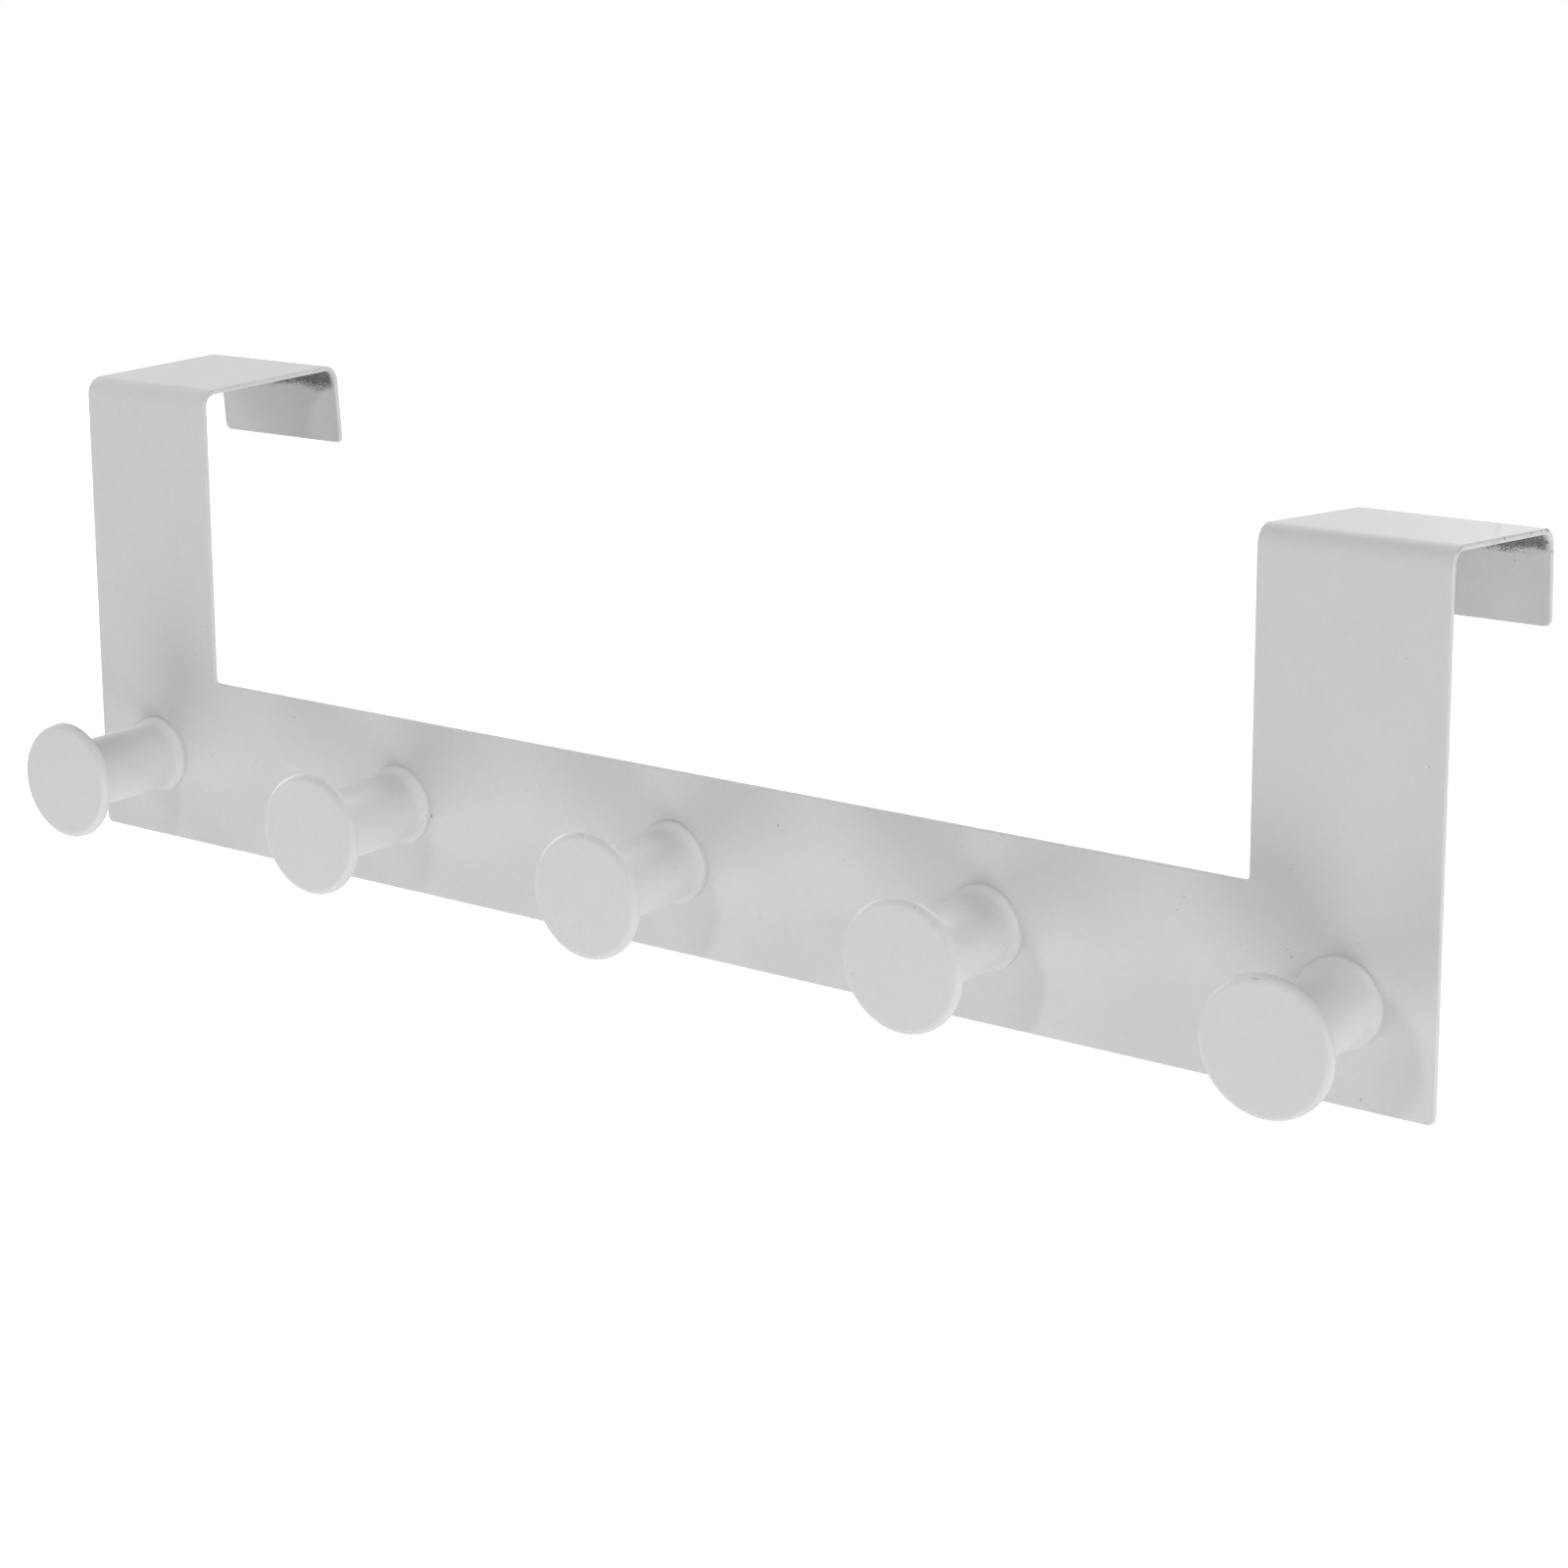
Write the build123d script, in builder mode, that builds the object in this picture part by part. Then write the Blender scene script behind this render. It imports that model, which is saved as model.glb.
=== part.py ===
from build123d import *
from math import cos, isclose, radians, sin
import os

# Over door hook: one folded steel sheet, with a row of spool-shaped pegs welded to its front.
# X runs along the bar, +Y points into the door and +Z is up. The origin is the middle of the
# bar's back face, at the height of the pegs.

# Sheet
sheet_thickness = 1.2
bar_length = 350.0
bar_height = 40.0
strap_width = 39.0
inner_bend_radius = 2.7
bar_corner_radius = 1.6
strap_root_radius = 1.0
sheet_edge_radius = 0.5

# Hooks over the door. A top that rises lifts towards the back, a lip that splays opens away from the door.
door_gap = 42.0
lip_drop = 19.3
lip_corner_radius = 1.6
left_strap_rise = 69.0
right_strap_rise = 68.0
left_top_rise = 1.4
right_top_rise = -4.7
left_lip_splay = 4.5
right_lip_splay = 3.5

# Pegs
peg_count = 5
shank_length = 28.0
shank_radius = 7.9
foot_radius = 8.9
foot_edge = 1.0
foot_edge_radius = 0.9
foot_flare = 4.2
head_radius = 13.5
head_thickness = 2.2
head_front_radius = 1.4
head_back_radius = 0.5
head_root_radius = 1.0

# Places that follow from the sizes above
half_length = bar_length / 2
bar_top = bar_height / 2
outer_bend_radius = inner_bend_radius + sheet_thickness
strap_centre = half_length - strap_width / 2
peg_pitch = 2 * strap_centre / (peg_count - 1)
front_face = -sheet_thickness
top_depth = door_gap + 2 * sheet_thickness
peg_length = shank_length + head_thickness


def hook_line(strap_rise, top_rise, lip_splay):
    """Corners of a strip's outer line, from the bar's lower edge over the door to the end of the lip."""
    rise = radians(top_rise)
    splay = radians(lip_splay)
    foot = Vector(front_face, -bar_top)
    front_corner = Vector(front_face, bar_top + strap_rise)
    back_corner = front_corner + Vector(cos(rise), sin(rise)) * top_depth
    lip_end = back_corner + Vector(sin(splay), -cos(splay)) * lip_drop
    return [foot, front_corner, back_corner, lip_end]


def across_sheet(edge):
    """Whether an edge crosses the sheet from one skin to the other."""
    return edge.geom_type == GeomType.LINE and isclose(edge.length, sheet_thickness, rel_tol=1e-4)


def along_fold(edge):
    """Whether an edge is a line where a bend begins or ends."""
    return isclose(edge.length, strap_width, rel_tol=1e-4)


# For each strip: where it starts along the bar, how far it rises above the bar, and the angles of its top and lip
hooks = [
    (-half_length, left_strap_rise, left_top_rise, left_lip_splay),
    (half_length - strap_width, right_strap_rise, right_top_rise, right_lip_splay),
]

# Each rounded corner of the peg's profile, with its radius
peg_corners = [
    ((foot_radius, foot_edge), foot_edge_radius),
    ((head_radius, peg_length), head_front_radius),
    ((head_radius, shank_length), head_back_radius),
    ((shank_radius, shank_length), head_root_radius),
]

with BuildPart() as hanger_plate:
    with BuildSketch(Plane.XZ):
        Rectangle(bar_length, bar_height)
    extrude(amount=sheet_thickness)

    for strip_start, strap_rise, top_rise, lip_splay in hooks:
        with BuildSketch(Plane.YZ.offset(strip_start)):
            with BuildLine():
                FilletPolyline(*hook_line(strap_rise, top_rise, lip_splay), radius=outer_bend_radius)
                offset(amount=sheet_thickness, side=Side.RIGHT)
            make_face()
        extrude(amount=strap_width)

    corners = hanger_plate.edges().filter_by(across_sheet).sort_by(Axis.Y)
    lip_corners = corners[-4:]
    bar_levels = corners[:-4].group_by(Axis.Z)
    fillet(lip_corners, lip_corner_radius)
    fillet(bar_levels[0], bar_corner_radius)
    fillet(bar_levels[-1], strap_root_radius)

    rims = hanger_plate.edges().filter_by(lambda edge: not across_sheet(edge) and not along_fold(edge))
    fillet(rims, sheet_edge_radius)

hanger_plate.part.label = "hanger_plate"

os.makedirs("parts", exist_ok=True)
export_step(hanger_plate.part, "parts/hanger_plate.step")

for peg_index in range(peg_count):
    peg_x = peg_pitch * peg_index - strap_centre
    # The profile's Y is the distance out from the sheet's front face
    profile_plane = Plane(origin=(peg_x, front_face, 0), x_dir=(1, 0, 0), z_dir=(0, 0, -1))

    with BuildPart() as peg:
        with BuildSketch(profile_plane):
            with BuildLine():
                flare = TangentArc((shank_radius, foot_flare), (foot_radius, foot_edge), tangent=(0, -1))
                Polyline(
                    flare @ 1,
                    (foot_radius, 0),
                    (0, 0),
                    (0, peg_length),
                    (head_radius, peg_length),
                    (head_radius, shank_length),
                    (shank_radius, shank_length),
                    flare @ 0,
                )
            make_face()
            for corner, radius in peg_corners:
                fillet(vertices().sort_by_distance(corner)[0], radius)
        revolve(axis=Axis((peg_x, 0, 0), (0, 1, 0)))

    peg.part.label = f"peg_{peg_index + 1}"
    export_step(peg.part, f"parts/peg_{peg_index + 1}.step")
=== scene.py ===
from math import cos, pi, radians, sin

import bpy
from mathutils import Matrix, Vector


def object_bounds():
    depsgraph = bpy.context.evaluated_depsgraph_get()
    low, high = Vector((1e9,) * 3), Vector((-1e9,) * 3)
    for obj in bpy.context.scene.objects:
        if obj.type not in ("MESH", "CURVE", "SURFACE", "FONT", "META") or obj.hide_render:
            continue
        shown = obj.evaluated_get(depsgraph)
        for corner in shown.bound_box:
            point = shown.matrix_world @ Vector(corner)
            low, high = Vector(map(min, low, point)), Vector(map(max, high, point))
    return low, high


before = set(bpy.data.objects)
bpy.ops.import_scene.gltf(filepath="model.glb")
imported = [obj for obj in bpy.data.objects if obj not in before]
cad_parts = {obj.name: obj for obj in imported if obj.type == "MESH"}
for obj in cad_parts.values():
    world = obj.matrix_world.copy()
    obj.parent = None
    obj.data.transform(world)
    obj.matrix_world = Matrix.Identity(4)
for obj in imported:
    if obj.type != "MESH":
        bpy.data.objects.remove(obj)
cad_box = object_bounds()

MM = 0.001
WHITE = (1.0, 1.0, 1.0, 1.0)

# Camera: its place, its turn, and the photograph's row of pixels that its axis passes through
IMAGE_SIZE = 1600
SENSOR_WIDTH = 36.0
CAMERA_PLACE = (0.4116, -0.5261, 0.2018)
CAMERA_AZIMUTH = 36.065
CAMERA_ELEVATION = 11.390
CAMERA_ROLL = -0.324
CAMERA_CLIP_START = 0.01
FOCAL_PIXELS = 3342.1
AXIS_PIXEL_Y = 560

# Floor, by its drop below the part. Where it is seen, plain white covers a share of the lit paper,
# so that the shadow stays, and covers all of it from the outer radius on.
FLOOR_SIZE = 8.0
FLOOR_DROP = 0.45
FLOOR_COLOUR = (0.8, 0.8, 0.8, 1.0)
FLOOR_WHITE = 1.22
FLOOR_WHITE_SHARE = 0.65
FLOOR_INNER_RADIUS = 0.5
FLOOR_OUTER_RADIUS = 1.6

# Light. Each lamp: name, azimuth (0 in front of the part, 90 on its right), elevation, distance,
# width and level
WORLD_LEVEL = 0.12
LIGHT_CENTRE = Vector((0.0, 0.0, 0.03))
LAMPS = [
    ("key", 4.1, 16.7, 0.942, 0.08, 0.10),
    ("fill", -45.0, 25.0, 0.55, 0.4, 0.088),
    ("right", 60.9, 12.1, 1.053, 0.6, 0.14),
    ("high_right", 80.0, 48.0, 1.6, 1.0, 0.25),
    ("high_left", -70.0, 48.0, 1.6, 1.0, 0.142),
    ("left", -100.0, 8.0, 1.6, 1.0, 0.55),
    ("low_front", 38.7, -29.3, 0.735, 0.3, 0.177),
    ("low_left", -35.0, -38.0, 0.55, 0.4, 0.207),
    ("low_side", 100.0, -25.0, 0.9, 0.6, 0.224),
    ("high_back", 174.8, 44.1, 1.538, 1.0, 0.29),
    ("low_back", 180.0, 5.0, 1.6, 1.0, 0.10),
]

# From here on lengths are in mm. A noise is given as its scale, detail and roughness, and a ramp as
# the two values that it goes from and, where they aren't 0 and 1, the two that it goes to.

# Powder coat: two close tones, mixed by three noises in these shares, and its finish
COAT_COLOUR = (0.612, 0.612, 0.615, 1.0)
COAT_SHADE = (0.592, 0.592, 0.596, 1.0)
CLOUD_NOISE = (0.045, 2.0, 0.5)
BLOTCH_NOISE = (0.55, 3.0, 0.6)
GRAIN_NOISE = (3.2, 2.0, 0.6)
CLOUD_SHARE = 0.35
BLOTCH_SHARE = 0.35
GRAIN_SHARE = 0.30
TONE_RAMP = (0.36, 0.64)
COAT_IOR = 1.5
COAT_SPECULAR = 0.4
SHEET_ROUGHNESS = 0.46
PEG_ROUGHNESS_RAMP = (0.3, 0.7, 0.44, 0.48)

# Bump: its depth, and the heights of the grain and of missing coat beside the orange peel's 1
BUMP_DEPTH = 0.02
PEEL_NOISE = (0.62, 1.0, 0.4)
GRAIN_HEIGHT = 0.12
MISSING_COAT_HEIGHT = -1.6

# Small marks that the photograph shows: centre, radius and strength. A noise stretches the distance
# from the centre, and each mark fades out between two shares of its radius.
# The speck colour also paints the scuff and the painted shade along the upper right rims of the
# tops
SPECK_AND_SHADE_COLOUR = (0.20, 0.19, 0.18, 1.0)
CHIP_COLOUR = (0.10, 0.097, 0.095, 1.0)
STRETCH_NOISE = (2.6, 2.0, 0.5)
STRETCH_RAMP = (0.3, 0.7, 0.7, 1.6)
FADE_START = 0.6
FADE_END = 1.15
SHEET_CHIPS = [
    ((174.9, 17.6, 86.2), 0.36, 0.4),
    ((174.9, 20.3, 86.0), 0.52, 0.65),
    ((174.9, 32.2, 84.95), 0.40, 0.5),
    ((174.8, 36.9, 84.5), 0.45, 0.55),
    ((174.7, 39.6, 84.3), 0.60, 0.8),
    ((165.9, 38.4, 84.7), 0.55, 0.4),
    ((173.9, 41.8, 81.5), 0.50, 0.8),
    ((174.9, 43.4, 83.0), 0.70, 0.3),
    ((174.8, 42.5, 79.8), 0.50, 0.35),
]
SHEET_SPECKS = [
    ((-68.7, -1.2, -1.2), 0.40, 0.7),
    ((27.4, -1.2, 12.6), 0.34, 0.5),
    ((145.3, -1.2, 6.8), 0.30, 0.6),
    ((144.5, -1.2, 8.2), 0.24, 0.35),
    ((160.3, -1.2, -17.8), 0.34, 0.5),
]
PEG_CHIPS = [
    ((153.2, -31.1, 12.6), 0.20, 0.5),
    ((153.8, -31.1, 12.68), 0.24, 0.8),
    ((154.4, -31.1, 12.75), 0.20, 0.6),
    ((155.6, -31.1, 12.75), 0.18, 0.4),
    ((-0.8, -31.0, 13.1), 0.18, 0.5),
    ((-0.2, -31.0, 13.12), 0.22, 0.7),
    ((81.2, -31.1, 12.55), 0.22, 0.4),
]

# Fine dust: cells per mm, which of the cells have a speck, by their random red, and its strength,
# by the distance from its centre in cells
DUST_CELLS = 0.22
DUST_CELL_RAMP = (0.62, 0.64)
DUST_SPECK_RAMP = (0.025, 0.06, 0.45, 0.0)

# Bare steel where the coat is thin inside the back bends: the inner corner's Y, and for each hook
# the corner's Z and how far from the corner the steel reaches
BARE_STEEL = (0.085, 0.083, 0.080, 1.0)
BARE_WORN = (0.30, 0.295, 0.29, 1.0)
BARE_ROUGHNESS = 0.62
WEAR_NOISE = (3.5, 3.0, 0.8)
WEAR_RAMP = (0.40, 0.66)
BEND_Y = 41.95
LEFT_BEND = (88.85, 5.4)
RIGHT_BEND = (83.1, 4.2)

# It fades with the distance, as a share of that reach, and streaks and grains break its edge
REACH_RAMP = (0.45, 1.25, 1.0, 0.0)
STREAK_STRETCH = (0.16, 0.6, 0.6)
STREAK_NOISE = (1.0, 2.0, 0.5)
STREAK_RAMP = (0.25, 0.75, -0.22, 0.22)
BREAK_NOISE = (2.4, 3.0, 0.75)
BREAK_RAMP = (0.25, 0.75, -0.36, 0.36)
BARE_RAMP = (0.30, 0.82)

# It stays on faces that look into the bend, at the back, and off the sides of the straps
INWARD = (0.0, -0.7071, -0.7071)
INWARD_RAMP = (0.35, 0.6)
BACK_RAMP = (34.0, 35.0)
STRAP_MIDDLE = 155.5
ACROSS_RAMP = (17.6, 19.0, 1.0, 0.0)

# The folded tops, by height
TOP_RAMP = (80.0, 82.0)

# Faint scuffed line across the right hook's top: X and Y of a point at its back and of one at its
# front, the X where it starts, and its strength
SCUFF_BACK = (165.5, 38.9)
SCUFF_FRONT = (175.5, 14.5)
SCUFF_HALF_WIDTH = 1.3
SCUFF_START_RAMP = (164.5, 167.0)
SCUFF_NOISE = (0.9, 3.0, 0.7)
SCUFF_STRENGTH_RAMP = (0.35, 0.65, 0.04, 0.22)

# Painted shade: the upper right rim of each folded top is painted darker, and the right hook's more
# so
RIM_FACING = (0.7071, 0.0, 0.7071)
RIM_FACING_RAMP = (0.80, 0.93)
RIM_LEFT = 0.18
RIM_RIGHT = 0.33
RIM_NOISE = (0.5, 2.0, 0.5)
RIM_STRENGTH_RAMP = (0.35, 0.65, 0.75, 1.2)


class Nodes:
    """Short ways to add and join shader nodes."""

    def __init__(self, tree):
        self.tree = tree
        tree.nodes.clear()

    def put(self, socket, value):
        if isinstance(value, bpy.types.NodeSocket):
            self.tree.links.new(value, socket)
        else:
            socket.default_value = value

    def add(self, kind, values=None, **settings):
        node = self.tree.nodes.new(kind)
        for name, value in settings.items():
            setattr(node, name, value)
        for name, value in (values or {}).items():
            self.put(node.inputs[name], value)
        return node

    def math(self, operation, *values):
        values = dict(enumerate(values))
        return self.add("ShaderNodeMath", values, operation=operation).outputs["Value"]

    def total(self, first, *others):
        for other in others:
            first = self.math("ADD", first, other)
        return first

    def product(self, first, *others):
        for other in others:
            first = self.math("MULTIPLY", first, other)
        return first

    def vector(self, operation, *values):
        """The number that a vector operation gives, such as a distance or a dot product."""
        values = dict(enumerate(values))
        return self.add("ShaderNodeVectorMath", values, operation=operation).outputs["Value"]

    def axes(self, place):
        return self.add("ShaderNodeSeparateXYZ", {"Vector": place}).outputs

    def ramp(self, value, low, high, to_low=0.0, to_high=1.0, curve="SMOOTHSTEP"):
        values = {
            "Value": value,
            "From Min": low,
            "From Max": high,
            "To Min": to_low,
            "To Max": to_high,
        }
        return self.add("ShaderNodeMapRange", values, interpolation_type=curve).outputs["Result"]

    def linear(self, value, *ramp):
        return self.ramp(value, *ramp, curve="LINEAR")

    def noise(self, place, scale, detail, rough):
        values = {"Vector": place, "Scale": scale, "Detail": detail, "Roughness": rough}
        return self.add("ShaderNodeTexNoise", values).outputs["Fac"]

    def mix(self, share, low, high):
        node = self.add("ShaderNodeMix", data_type="RGBA")
        sockets = {socket.name: socket for socket in node.inputs if socket.enabled}
        for name, value in (("Factor", share), ("A", low), ("B", high)):
            self.put(sockets[name], value)
        return next(socket for socket in node.outputs if socket.enabled)

    def by_hook(self, x, left, right):
        """One value on the left hook, where X is below -1, and another on the right one."""
        return self.linear(x, -1.0, 1.0, left, right)

    def seen_ray(self):
        """1 for a ray that shows a surface, directly or in gloss or glass, and 0 for other rays."""
        rays = self.add("ShaderNodeLightPath").outputs
        indirect = self.math("MAXIMUM", rays["Is Glossy Ray"], rays["Is Transmission Ray"])
        return self.math("MAXIMUM", rays["Is Camera Ray"], indirect)


def spots(n, place, marks):
    """Each round mark's strength inside it and 0 outside, with a short ragged edge."""
    stretch = n.linear(n.noise(place, *STRETCH_NOISE), *STRETCH_RAMP)
    inside = 0.0
    for centre, radius, strength in marks:
        away = n.product(n.vector("DISTANCE", place, centre), stretch)
        mark = n.ramp(away, radius * FADE_START, radius * FADE_END, strength, 0.0)
        inside = n.math("MAXIMUM", inside, mark)
    return inside


def dust(n, place):
    """Strength of fine scattered specks, at most one in each cell."""
    values = {"Vector": place, "Scale": DUST_CELLS}
    cells = n.add("ShaderNodeTexVoronoi", values, feature="F1").outputs
    red = n.add("ShaderNodeSeparateColor", {"Color": cells["Color"]}).outputs["Red"]
    speck = n.ramp(cells["Distance"], *DUST_SPECK_RAMP)
    return n.product(speck, n.ramp(red, *DUST_CELL_RAMP))


def thin_coat(n, place, normal):
    """1 where the steel shows through inside a back bend, with a grainy edge, and 0 elsewhere."""
    axes = n.axes(place)
    corner = n.by_hook(axes["X"], LEFT_BEND[0], RIGHT_BEND[0])
    reach = n.by_hook(axes["X"], LEFT_BEND[1], RIGHT_BEND[1])
    behind = n.math("SUBTRACT", axes["Y"], BEND_Y)
    above = n.math("SUBTRACT", axes["Z"], corner)
    away = n.math("SQRT", n.total(n.math("POWER", behind, 2.0), n.math("POWER", above, 2.0)))
    fade = n.linear(n.math("DIVIDE", away, reach), *REACH_RAMP)

    stretched = n.add("ShaderNodeMapping", {"Vector": place, "Scale": STREAK_STRETCH})
    streaks = n.linear(n.noise(stretched.outputs["Vector"], *STREAK_NOISE), *STREAK_RAMP)
    grains = n.linear(n.noise(place, *BREAK_NOISE), *BREAK_RAMP)
    bare = n.ramp(n.total(fade, streaks, grains), *BARE_RAMP)

    inward = n.ramp(n.vector("DOT_PRODUCT", normal, INWARD), *INWARD_RAMP)
    from_middle = n.math("SUBTRACT", n.math("ABSOLUTE", axes["X"]), STRAP_MIDDLE)
    across = n.ramp(n.math("ABSOLUTE", from_middle), *ACROSS_RAMP)
    at_back = n.ramp(axes["Y"], *BACK_RAMP)
    return n.product(bare, inward, across, at_back)


def scuff(n, place):
    """Strength of the faint scuffed line across the right hook's top, and 0 elsewhere."""
    axes = n.axes(place)
    back = Vector(SCUFF_BACK)
    run = Vector(SCUFF_FRONT) - back
    side = Vector((-run.y, run.x)).normalized()
    sideways = n.total(n.product(axes["X"], side.x), n.product(axes["Y"], side.y))
    away = n.math("ABSOLUTE", n.math("SUBTRACT", sideways, side.dot(back)))
    line = n.ramp(away, 0.0, SCUFF_HALF_WIDTH, 1.0, 0.0)
    begun = n.ramp(axes["X"], *SCUFF_START_RAMP)
    on_top = n.ramp(axes["Z"], *TOP_RAMP)
    strength = n.ramp(n.noise(place, *SCUFF_NOISE), *SCUFF_STRENGTH_RAMP)
    return n.product(line, begun, on_top, strength)


def painted_rim_shade(n, place, normal):
    """Share of painted shade along the upper right rim of each folded top, and 0 elsewhere."""
    axes = n.axes(place)
    facing = n.ramp(n.vector("DOT_PRODUCT", normal, RIM_FACING), *RIM_FACING_RAMP)
    on_top = n.ramp(axes["Z"], *TOP_RAMP)
    strength = n.by_hook(axes["X"], RIM_LEFT, RIM_RIGHT)
    patchy = n.linear(n.noise(place, *RIM_NOISE), *RIM_STRENGTH_RAMP)
    return n.product(facing, on_top, strength, patchy)


def powder_coat(name, chips, specks, on_sheet):
    """Pale satin powder coat, with the few chips and specks of its piece."""
    material = bpy.data.materials.new(name)
    material.use_nodes = True
    n = Nodes(material.node_tree)
    where = n.add("ShaderNodeTexCoord").outputs
    values = {0: where["Object"], "Scale": 1 / MM}
    place = n.add("ShaderNodeVectorMath", values, operation="SCALE").outputs["Vector"]

    cloud = n.noise(place, *CLOUD_NOISE)
    blotch = n.noise(place, *BLOTCH_NOISE)
    grain = n.noise(place, *GRAIN_NOISE)
    tone = n.total(
        n.product(cloud, CLOUD_SHARE),
        n.product(blotch, BLOTCH_SHARE),
        n.product(grain, GRAIN_SHARE),
    )
    colour = n.mix(n.ramp(tone, *TONE_RAMP), COAT_SHADE, COAT_COLOUR)
    specked = n.math("MAXIMUM", dust(n, place), spots(n, place, specks))
    colour = n.mix(specked, colour, SPECK_AND_SHADE_COLOUR)

    chipped = spots(n, place, chips)
    if on_sheet:
        thin = thin_coat(n, place, where["Normal"])
        worn = n.ramp(n.noise(place, *WEAR_NOISE), *WEAR_RAMP)
        colour = n.mix(thin, colour, n.mix(worn, BARE_STEEL, BARE_WORN))
        # The scuff is a real mark; the upper right rims of the tops get painted shade in the same
        # dark colour
        scuff_and_painted_shade = n.math("MAXIMUM", scuff(n, place), painted_rim_shade(n, place, where["Normal"]))
        colour = n.mix(scuff_and_painted_shade, colour, SPECK_AND_SHADE_COLOUR)
        rough = n.linear(thin, 0.0, 1.0, SHEET_ROUGHNESS, BARE_ROUGHNESS)
    else:
        thin = 0.0
        rough = n.linear(cloud, *PEG_ROUGHNESS_RAMP)
    colour = n.mix(chipped, colour, CHIP_COLOUR)

    height = n.total(
        n.noise(place, *PEEL_NOISE),
        n.product(grain, GRAIN_HEIGHT),
        n.product(n.math("MAXIMUM", chipped, thin), MISSING_COAT_HEIGHT),
    )
    values = {"Strength": 1.0, "Distance": BUMP_DEPTH * MM, "Height": height}
    bump = n.add("ShaderNodeBump", values)
    shader = n.add("ShaderNodeBsdfPrincipled", {
        "Base Color": colour,
        "Roughness": rough,
        "Normal": bump.outputs["Normal"],
        "IOR": COAT_IOR,
        "Specular IOR Level": COAT_SPECULAR,
    })
    n.add("ShaderNodeOutputMaterial", {"Surface": shader.outputs["BSDF"]})
    return material


def camera_matrix():
    """The camera's place and turn, from its azimuth, elevation and roll."""
    azimuth, elevation, roll = map(radians, (CAMERA_AZIMUTH, CAMERA_ELEVATION, CAMERA_ROLL))
    flat = Vector((-sin(azimuth), cos(azimuth), 0.0))
    up = Vector((0.0, 0.0, 1.0))
    forward = flat * cos(elevation) - up * sin(elevation)
    right = forward.cross(up).normalized()
    down = forward.cross(right)
    rolled_right = right * cos(roll) - down * sin(roll)
    rolled_down = right * sin(roll) + down * cos(roll)
    turn = Matrix((rolled_right, -rolled_down, -forward)).transposed()
    return Matrix.Translation(CAMERA_PLACE) @ turn.to_4x4()


def area_light(name, azimuth, elevation, distance, width, level):
    """A soft round lamp facing the object. A white card there shows about 1.27 times its level."""
    azimuth, elevation = radians(azimuth), radians(elevation)
    flat = Vector((sin(azimuth), -cos(azimuth), 0.0))
    towards = flat * cos(elevation) + Vector((0.0, 0.0, sin(elevation)))
    data = bpy.data.lights.new(name, "AREA")
    data.shape = "DISK"
    data.size = width
    data.energy = level * 4 * pi * distance * distance
    light = bpy.data.objects.new(name, data)
    bpy.context.collection.objects.link(light)
    light.location = LIGHT_CENTRE + towards * distance
    light.rotation_euler = towards.to_track_quat("Z", "Y").to_euler()
    light.visible_camera = False


def studio_world():
    """Plain white where it is seen, and an even low light on the object."""
    world = bpy.data.worlds.new("studio")
    world.use_nodes = True
    n = Nodes(world.node_tree)
    lit = n.add("ShaderNodeBackground", {"Color": WHITE, "Strength": WORLD_LEVEL})
    white = n.add("ShaderNodeBackground", {"Color": WHITE, "Strength": 1.0})
    values = {0: n.seen_ray(), 1: lit.outputs[0], 2: white.outputs[0]}
    both = n.add("ShaderNodeMixShader", values)
    n.add("ShaderNodeOutputWorld", {"Surface": both.outputs[0]})
    return world


def floor_paper():
    """Pale paper that lights the object, and a mix of it and plain white where it is seen."""
    paper = bpy.data.materials.new("floor_paper")
    paper.use_nodes = True
    n = Nodes(paper.node_tree)
    lit = n.add("ShaderNodeBsdfDiffuse", {"Color": FLOOR_COLOUR})
    white = n.add("ShaderNodeEmission", {"Color": WHITE, "Strength": FLOOR_WHITE})
    away = n.vector("LENGTH", n.add("ShaderNodeTexCoord").outputs["Object"])
    share = n.ramp(away, FLOOR_INNER_RADIUS, FLOOR_OUTER_RADIUS, FLOOR_WHITE_SHARE, 1.0)
    values = {0: n.product(n.seen_ray(), share), 1: lit.outputs[0], 2: white.outputs[0]}
    both = n.add("ShaderNodeMixShader", values)
    n.add("ShaderNodeOutputMaterial", {"Surface": both.outputs[0]})
    return paper


sheet_coat = powder_coat("sheet_coat", SHEET_CHIPS, SHEET_SPECKS, on_sheet=True)
peg_coat = powder_coat("peg_coat", PEG_CHIPS, [], on_sheet=False)
for name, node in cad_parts.items():
    for material_slot in node.material_slots:
        material_slot.material = sheet_coat if name == "hanger_plate" else peg_coat

camera_data = bpy.data.cameras.new("camera")
camera_data.sensor_width = SENSOR_WIDTH
camera_data.lens = FOCAL_PIXELS * SENSOR_WIDTH / IMAGE_SIZE
camera_data.shift_y = (AXIS_PIXEL_Y - IMAGE_SIZE / 2) / IMAGE_SIZE
camera_data.clip_start = CAMERA_CLIP_START
camera = bpy.data.objects.new("camera", camera_data)
bpy.context.collection.objects.link(camera)
camera.matrix_world = camera_matrix()
bpy.context.scene.camera = camera

for lamp in LAMPS:
    area_light(*lamp)
bpy.context.scene.world = studio_world()

floor_level = cad_box[0][2] - FLOOR_DROP
bpy.ops.mesh.primitive_plane_add(size=FLOOR_SIZE, location=(0.0, 0.0, floor_level))
floor = bpy.context.object
floor.name = "floor"
floor.data.materials.append(floor_paper())

bpy.context.scene.view_settings.view_transform = "Standard"
